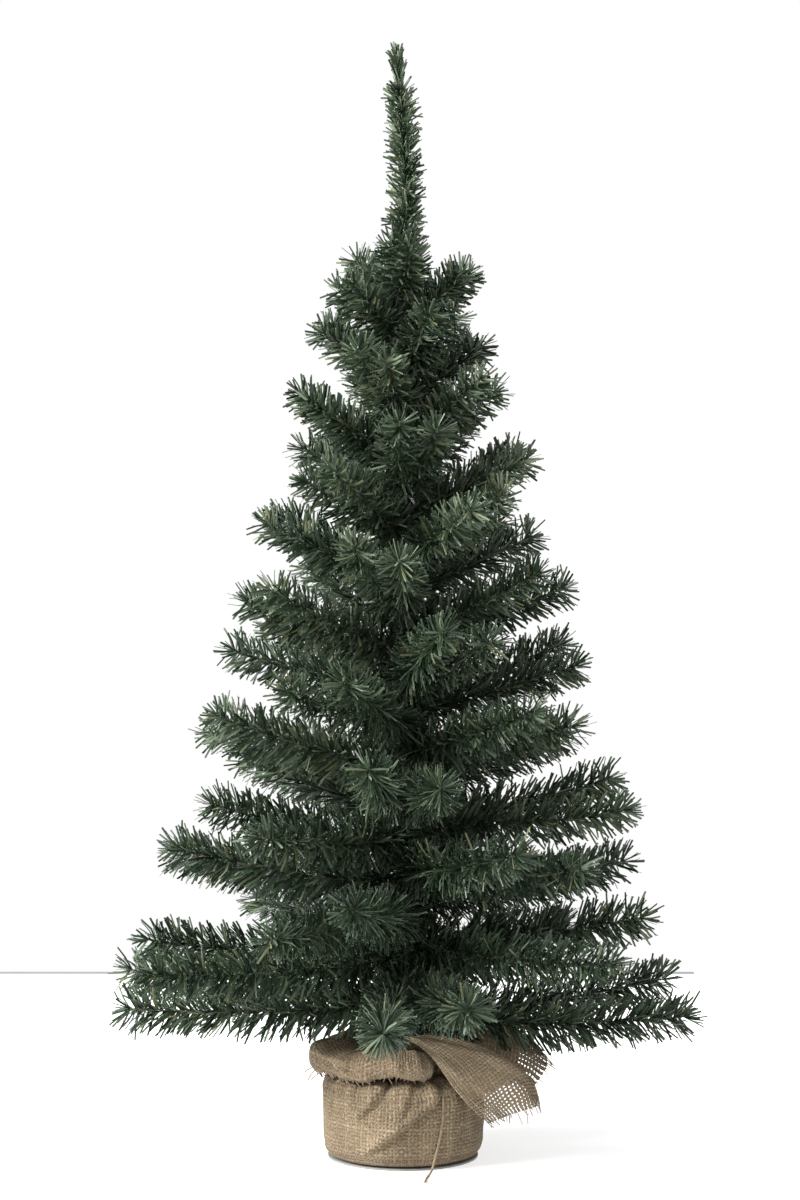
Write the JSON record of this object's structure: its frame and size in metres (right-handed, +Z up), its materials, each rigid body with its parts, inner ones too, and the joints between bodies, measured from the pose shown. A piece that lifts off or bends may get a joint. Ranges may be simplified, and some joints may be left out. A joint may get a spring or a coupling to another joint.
{
  "type": "artificial tabletop tree",
  "caption": "Slim cone-shaped artificial tree of green brush branches on a wrapped stem, its round weighted base dressed in tied hessian.",
  "frame": {"origin": "centre of the round base's underside, on the floor", "axes": "+Z up along the stem, -Y towards the front, +X to the viewer's right; the long corner of the hessian collar is at the front right"},
  "size_m": [0.3793, 0.3558, 0.7501],
  "materials": {
    "base_pad": "grey felt, matt",
    "weight_block": "cast cement, matt",
    "burlap_wrap": "coarse open plain-weave hessian",
    "twine_tie": "twisted jute twine",
    "twine_knot": "twisted jute twine",
    "twine_tail": "twisted jute twine",
    "trunk_core": "twisted wire, dull",
    "trunk_wrap": "dark green tape",
    "leader": "green needle brush on twisted wire",
    "branch_01": "green needle brush on twisted wire",
    "branch_02": "green needle brush on twisted wire",
    "branch_03": "green needle brush on twisted wire",
    "branch_04": "green needle brush on twisted wire",
    "branch_05": "green needle brush on twisted wire",
    "branch_06": "green needle brush on twisted wire",
    "branch_07": "green needle brush on twisted wire",
    "branch_08": "green needle brush on twisted wire",
    "branch_09": "green needle brush on twisted wire",
    "branch_10": "green needle brush on twisted wire",
    "branch_11": "green needle brush on twisted wire",
    "branch_12": "green needle brush on twisted wire",
    "branch_13": "green needle brush on twisted wire",
    "branch_14": "green needle brush on twisted wire",
    "branch_15": "green needle brush on twisted wire",
    "branch_16": "green needle brush on twisted wire",
    "branch_17": "green needle brush on twisted wire",
    "branch_18": "green needle brush on twisted wire",
    "branch_19": "green needle brush on twisted wire",
    "branch_20": "green needle brush on twisted wire",
    "branch_21": "green needle brush on twisted wire",
    "branch_22": "green needle brush on twisted wire",
    "branch_23": "green needle brush on twisted wire",
    "branch_24": "green needle brush on twisted wire",
    "branch_25": "green needle brush on twisted wire",
    "branch_26": "green needle brush on twisted wire",
    "branch_27": "green needle brush on twisted wire",
    "branch_28": "green needle brush on twisted wire",
    "branch_29": "green needle brush on twisted wire",
    "branch_30": "green needle brush on twisted wire",
    "branch_31": "green needle brush on twisted wire",
    "branch_32": "green needle brush on twisted wire",
    "branch_33": "green needle brush on twisted wire",
    "branch_34": "green needle brush on twisted wire",
    "branch_35": "green needle brush on twisted wire",
    "branch_36": "green needle brush on twisted wire",
    "branch_37": "green needle brush on twisted wire",
    "branch_38": "green needle brush on twisted wire",
    "branch_39": "green needle brush on twisted wire",
    "branch_40": "green needle brush on twisted wire",
    "branch_41": "green needle brush on twisted wire",
    "branch_42": "green needle brush on twisted wire",
    "branch_43": "green needle brush on twisted wire",
    "branch_44": "green needle brush on twisted wire",
    "branch_45": "green needle brush on twisted wire",
    "branch_46": "green needle brush on twisted wire",
    "branch_47": "green needle brush on twisted wire",
    "branch_48": "green needle brush on twisted wire",
    "branch_49": "green needle brush on twisted wire",
    "branch_50": "green needle brush on twisted wire"
  },
  "bodies": {
    "base": {"base_pad": "base_pad", "weight_block": "weight_block", "burlap_wrap": "burlap_wrap", "twine_tie": "twine_tie", "twine_knot": "twine_knot", "twine_tail": "twine_tail", "trunk_core": "trunk_core", "trunk_wrap": "trunk_wrap"},
    "top_wire": {"leader": "leader"},
    "branch_01": {"branch_01": "branch_01"},
    "branch_02": {"branch_02": "branch_02"},
    "branch_03": {"branch_03": "branch_03"},
    "branch_04": {"branch_04": "branch_04"},
    "branch_05": {"branch_05": "branch_05"},
    "branch_06": {"branch_06": "branch_06"},
    "branch_07": {"branch_07": "branch_07"},
    "branch_08": {"branch_08": "branch_08"},
    "branch_09": {"branch_09": "branch_09"},
    "branch_10": {"branch_10": "branch_10"},
    "branch_11": {"branch_11": "branch_11"},
    "branch_12": {"branch_12": "branch_12"},
    "branch_13": {"branch_13": "branch_13"},
    "branch_14": {"branch_14": "branch_14"},
    "branch_15": {"branch_15": "branch_15"},
    "branch_16": {"branch_16": "branch_16"},
    "branch_17": {"branch_17": "branch_17"},
    "branch_18": {"branch_18": "branch_18"},
    "branch_19": {"branch_19": "branch_19"},
    "branch_20": {"branch_20": "branch_20"},
    "branch_21": {"branch_21": "branch_21"},
    "branch_22": {"branch_22": "branch_22"},
    "branch_23": {"branch_23": "branch_23"},
    "branch_24": {"branch_24": "branch_24"},
    "branch_25": {"branch_25": "branch_25"},
    "branch_26": {"branch_26": "branch_26"},
    "branch_27": {"branch_27": "branch_27"},
    "branch_28": {"branch_28": "branch_28"},
    "branch_29": {"branch_29": "branch_29"},
    "branch_30": {"branch_30": "branch_30"},
    "branch_31": {"branch_31": "branch_31"},
    "branch_32": {"branch_32": "branch_32"},
    "branch_33": {"branch_33": "branch_33"},
    "branch_34": {"branch_34": "branch_34"},
    "branch_35": {"branch_35": "branch_35"},
    "branch_36": {"branch_36": "branch_36"},
    "branch_37": {"branch_37": "branch_37"},
    "branch_38": {"branch_38": "branch_38"},
    "branch_39": {"branch_39": "branch_39"},
    "branch_40": {"branch_40": "branch_40"},
    "branch_41": {"branch_41": "branch_41"},
    "branch_42": {"branch_42": "branch_42"},
    "branch_43": {"branch_43": "branch_43"},
    "branch_44": {"branch_44": "branch_44"},
    "branch_45": {"branch_45": "branch_45"},
    "branch_46": {"branch_46": "branch_46"},
    "branch_47": {"branch_47": "branch_47"},
    "branch_48": {"branch_48": "branch_48"},
    "branch_49": {"branch_49": "branch_49"},
    "branch_50": {"branch_50": "branch_50"}
  },
  "joints": [
    {"name": "top_wire_bend", "type": "hinge", "parent": "base", "child": "top_wire", "pos_m": [0, 0, 0.596], "axis": [0, 1, 0], "range_deg": [-15, 15]},
    {"name": "branch_01_bend", "type": "hinge", "parent": "base", "child": "branch_01", "pos_m": [0.0083, 0.00132, 0.095], "axis": [0.1575, -0.9875, 0], "range_deg": [-6, 20]},
    {"name": "branch_02_bend", "type": "hinge", "parent": "base", "child": "branch_02", "pos_m": [-0.0084, 0.00017, 0.10502], "axis": [0.0204, 0.9998, 0], "range_deg": [-10, 20]},
    {"name": "branch_03_bend", "type": "hinge", "parent": "base", "child": "branch_03", "pos_m": [0.00083, -0.00836, 0.11504], "axis": [-0.9951, -0.0989, 0], "range_deg": [-10, 20]},
    {"name": "branch_04_bend", "type": "hinge", "parent": "base", "child": "branch_04", "pos_m": [0.00439, 0.00716, 0.12506], "axis": [0.8527, -0.5224, 0], "range_deg": [-10, 20]},
    {"name": "branch_05_bend", "type": "hinge", "parent": "base", "child": "branch_05", "pos_m": [-0.00802, -0.00249, 0.13508], "axis": [-0.2959, 0.9552, 0], "range_deg": [-10, 20]},
    {"name": "branch_06_bend", "type": "hinge", "parent": "base", "child": "branch_06", "pos_m": [0.00754, -0.00371, 0.1451], "axis": [-0.4419, -0.8971, 0], "range_deg": [-10, 20]},
    {"name": "branch_07_bend", "type": "hinge", "parent": "base", "child": "branch_07", "pos_m": [-0.00373, 0.00752, 0.15512], "axis": [0.8958, 0.4445, 0], "range_deg": [-10, 20]},
    {"name": "branch_08_bend", "type": "hinge", "parent": "base", "child": "branch_08", "pos_m": [-0.00293, -0.00787, 0.16514], "axis": [-0.937, 0.3493, 0], "range_deg": [-10, 20]},
    {"name": "branch_09_bend", "type": "hinge", "parent": "base", "child": "branch_09", "pos_m": [0.0075, 0.00378, 0.17516], "axis": [0.4503, -0.8929, 0], "range_deg": [-10, 20]},
    {"name": "branch_10_bend", "type": "hinge", "parent": "base", "child": "branch_10", "pos_m": [-0.00828, 0.00141, 0.18518], "axis": [0.1679, 0.9858, 0], "range_deg": [-10, 20]},
    {"name": "branch_11_bend", "type": "hinge", "parent": "base", "child": "branch_11", "pos_m": [0.00505, -0.00671, 0.1952], "axis": [-0.7988, -0.6016, 0], "range_deg": [-10, 20]},
    {"name": "branch_12_bend", "type": "hinge", "parent": "base", "child": "branch_12", "pos_m": [0.00167, 0.00823, 0.20522], "axis": [0.9801, -0.1985, 0], "range_deg": [-10, 20]},
    {"name": "branch_13_bend", "type": "hinge", "parent": "base", "child": "branch_13", "pos_m": [-0.00639, -0.00545, 0.21524], "axis": [-0.6486, 0.7612, 0], "range_deg": [-10, 20]},
    {"name": "branch_14_bend", "type": "hinge", "parent": "base", "child": "branch_14", "pos_m": [0.00836, -0.00078, 0.22527], "axis": [-0.0927, -0.9957, 0], "range_deg": [-10, 20]},
    {"name": "branch_15_bend", "type": "hinge", "parent": "base", "child": "branch_15", "pos_m": [-0.00617, 0.0057, 0.23529], "axis": [0.6791, 0.734, 0], "range_deg": [-10, 20]},
    {"name": "branch_16_bend", "type": "hinge", "parent": "base", "child": "branch_16", "pos_m": [0.00003, -0.0084, 0.24531], "axis": [-1, -0.0035, 0], "range_deg": [-10, 20]},
    {"name": "branch_17_bend", "type": "hinge", "parent": "base", "child": "branch_17", "pos_m": [0.0056, 0.00626, 0.25533], "axis": [0.7456, -0.6664, 0], "range_deg": [-10, 20]},
    {"name": "branch_18_bend", "type": "hinge", "parent": "base", "child": "branch_18", "pos_m": [-0.00837, -0.00075, 0.26535], "axis": [-0.0891, 0.996, 0], "range_deg": [-10, 20]},
    {"name": "branch_19_bend", "type": "hinge", "parent": "base", "child": "branch_19", "pos_m": [0.00668, -0.0051, 0.27537], "axis": [-0.6067, -0.795, 0], "range_deg": [-10, 20]},
    {"name": "branch_20_bend", "type": "hinge", "parent": "base", "child": "branch_20", "pos_m": [-0.00159, 0.00825, 0.28539], "axis": [0.9819, 0.1892, 0], "range_deg": [-10, 20]},
    {"name": "branch_21_bend", "type": "hinge", "parent": "base", "child": "branch_21", "pos_m": [-0.00404, -0.00736, 0.29541], "axis": [-0.8767, 0.481, 0], "range_deg": [-10, 20]},
    {"name": "branch_22_bend", "type": "hinge", "parent": "base", "child": "branch_22", "pos_m": [0.0081, 0.00224, 0.30543], "axis": [0.2668, -0.9637, 0], "range_deg": [-10, 20]},
    {"name": "branch_23_bend", "type": "hinge", "parent": "base", "child": "branch_23", "pos_m": [-0.00752, 0.00375, 0.31545], "axis": [0.4465, 0.8948, 0], "range_deg": [-10, 20]},
    {"name": "branch_24_bend", "type": "hinge", "parent": "base", "child": "branch_24", "pos_m": [0.00328, -0.00773, 0.32547], "axis": [-0.9206, -0.3905, 0], "range_deg": [-10, 20]},
    {"name": "branch_25_bend", "type": "hinge", "parent": "base", "child": "branch_25", "pos_m": [0.00264, 0.00797, 0.33549], "axis": [0.9492, -0.3146, 0], "range_deg": [-10, 20]},
    {"name": "branch_26_bend", "type": "hinge", "parent": "base", "child": "branch_26", "pos_m": [-0.00744, -0.00389, 0.34551], "axis": [-0.4632, 0.8863, 0], "range_deg": [-10, 20]},
    {"name": "branch_27_bend", "type": "hinge", "parent": "base", "child": "branch_27", "pos_m": [0.00816, -0.00198, 0.35553], "axis": [-0.2352, -0.9719, 0], "range_deg": [-10, 20]},
    {"name": "branch_28_bend", "type": "hinge", "parent": "base", "child": "branch_28", "pos_m": [-0.00422, 0.00726, 0.36555], "axis": [0.8644, 0.5029, 0], "range_deg": [-10, 20]},
    {"name": "branch_29_bend", "type": "hinge", "parent": "base", "child": "branch_29", "pos_m": [-0.00161, -0.00824, 0.37557], "axis": [-0.9814, 0.1917, 0], "range_deg": [-10, 20]},
    {"name": "branch_30_bend", "type": "hinge", "parent": "base", "child": "branch_30", "pos_m": [0.00691, 0.00478, 0.38559], "axis": [0.5693, -0.8221, 0], "range_deg": [-10, 20]},
    {"name": "branch_31_bend", "type": "hinge", "parent": "base", "child": "branch_31", "pos_m": [-0.00839, 0.0004, 0.39561], "axis": [0.0475, 0.9989, 0], "range_deg": [-10, 20]},
    {"name": "branch_32_bend", "type": "hinge", "parent": "base", "child": "branch_32", "pos_m": [0.00535, -0.00648, 0.40563], "axis": [-0.7712, -0.6367, 0], "range_deg": [-10, 20]},
    {"name": "branch_33_bend", "type": "hinge", "parent": "base", "child": "branch_33", "pos_m": [0.00048, 0.00839, 0.41565], "axis": [0.9983, -0.0575, 0], "range_deg": [-10, 20]},
    {"name": "branch_34_bend", "type": "hinge", "parent": "base", "child": "branch_34", "pos_m": [-0.00576, -0.00611, 0.42567], "axis": [-0.7278, 0.6858, 0], "range_deg": [-10, 20]},
    {"name": "branch_35_bend", "type": "hinge", "parent": "base", "child": "branch_35", "pos_m": [0.00838, 0.00054, 0.43569], "axis": [0.0641, -0.9979, 0], "range_deg": [-10, 20]},
    {"name": "branch_36_bend", "type": "hinge", "parent": "base", "child": "branch_36", "pos_m": [-0.00664, 0.00514, 0.44571], "axis": [0.6123, 0.7907, 0], "range_deg": [-10, 20]},
    {"name": "branch_37_bend", "type": "hinge", "parent": "base", "child": "branch_37", "pos_m": [0.00112, -0.00832, 0.45573], "axis": [-0.991, -0.1336, 0], "range_deg": [-10, 20]},
    {"name": "branch_38_bend", "type": "hinge", "parent": "base", "child": "branch_38", "pos_m": [0.00442, 0.00714, 0.46576], "axis": [0.85, -0.5268, 0], "range_deg": [-10, 20]},
    {"name": "branch_39_bend", "type": "hinge", "parent": "base", "child": "branch_39", "pos_m": [-0.00814, -0.00207, 0.47578], "axis": [-0.2458, 0.9693, 0], "range_deg": [-10, 20]},
    {"name": "branch_40_bend", "type": "hinge", "parent": "base", "child": "branch_40", "pos_m": [0.00748, -0.00383, 0.4858], "axis": [-0.456, -0.89, 0], "range_deg": [-10, 20]},
    {"name": "branch_41_bend", "type": "hinge", "parent": "base", "child": "branch_41", "pos_m": [-0.00283, 0.00791, 0.49582], "axis": [0.9417, 0.3364, 0], "range_deg": [-10, 20]},
    {"name": "branch_42_bend", "type": "hinge", "parent": "base", "child": "branch_42", "pos_m": [-0.00289, -0.00789, 0.50584], "axis": [-0.9389, 0.3442, 0], "range_deg": [-10, 20]},
    {"name": "branch_43_bend", "type": "hinge", "parent": "base", "child": "branch_43", "pos_m": [0.00743, 0.00391, 0.51586], "axis": [0.466, -0.8848, 0], "range_deg": [-10, 20]},
    {"name": "branch_44_bend", "type": "hinge", "parent": "base", "child": "branch_44", "pos_m": [-0.00789, 0.00288, 0.52588], "axis": [0.3427, 0.9394, 0], "range_deg": [-10, 20]},
    {"name": "branch_45_bend", "type": "hinge", "parent": "base", "child": "branch_45", "pos_m": [0.00447, -0.00711, 0.5359], "axis": [-0.8463, -0.5327, 0], "range_deg": [-10, 20]},
    {"name": "branch_46_bend", "type": "hinge", "parent": "base", "child": "branch_46", "pos_m": [0.00125, 0.00831, 0.54592], "axis": [0.9889, -0.1486, 0], "range_deg": [-10, 20]},
    {"name": "branch_47_bend", "type": "hinge", "parent": "base", "child": "branch_47", "pos_m": [-0.00691, -0.00478, 0.55594], "axis": [-0.5686, 0.8226, 0], "range_deg": [-10, 20]},
    {"name": "branch_48_bend", "type": "hinge", "parent": "base", "child": "branch_48", "pos_m": [0.00827, -0.00147, 0.56596], "axis": [-0.1745, -0.9847, 0], "range_deg": [-10, 20]},
    {"name": "branch_49_bend", "type": "hinge", "parent": "base", "child": "branch_49", "pos_m": [-0.00564, 0.00623, 0.57598], "axis": [0.7415, 0.6709, 0], "range_deg": [-10, 20]},
    {"name": "branch_50_bend", "type": "hinge", "parent": "base", "child": "branch_50", "pos_m": [-0.00026, -0.0084, 0.586], "axis": [-0.9995, 0.0306, 0], "range_deg": [-10, 20]}
  ]
}
